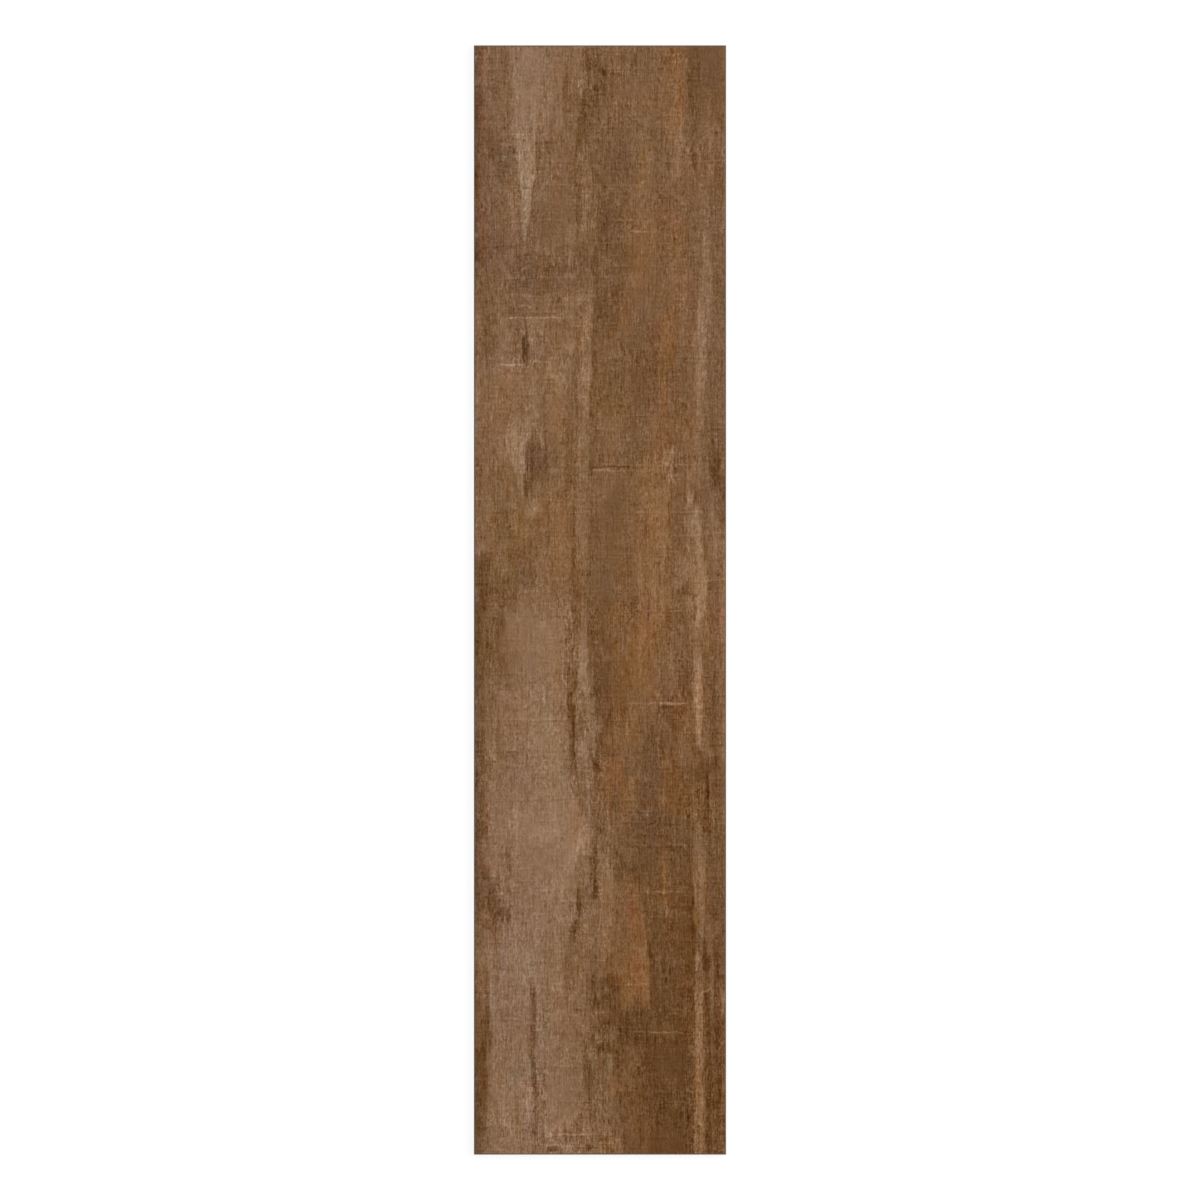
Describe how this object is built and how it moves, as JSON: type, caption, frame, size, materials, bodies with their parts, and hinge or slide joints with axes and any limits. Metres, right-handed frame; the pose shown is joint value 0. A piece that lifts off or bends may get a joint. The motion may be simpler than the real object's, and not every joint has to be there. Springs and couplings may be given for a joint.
{
  "type": "wood-look porcelain plank tile",
  "caption": "Flat rectangular porcelain plank with a brown wood-grain face, square ground edges with a small bevel, and a honeycomb of shallow pockets on its back that keys into mortar.",
  "frame": {"origin": "middle of the back, on the rib between the two middle pockets, level with the floor that the tile lies on", "axes": "+Z out of the printed face, +Y along the plank's length, +X across its width"},
  "size_m": [0.2, 0.88, 0.0095],
  "materials": {
    "porcelain": "matt wood-grain print on a fired porcelain body"
  },
  "bodies": {
    "root": {"tile": "porcelain"}
  },
  "joints": []
}
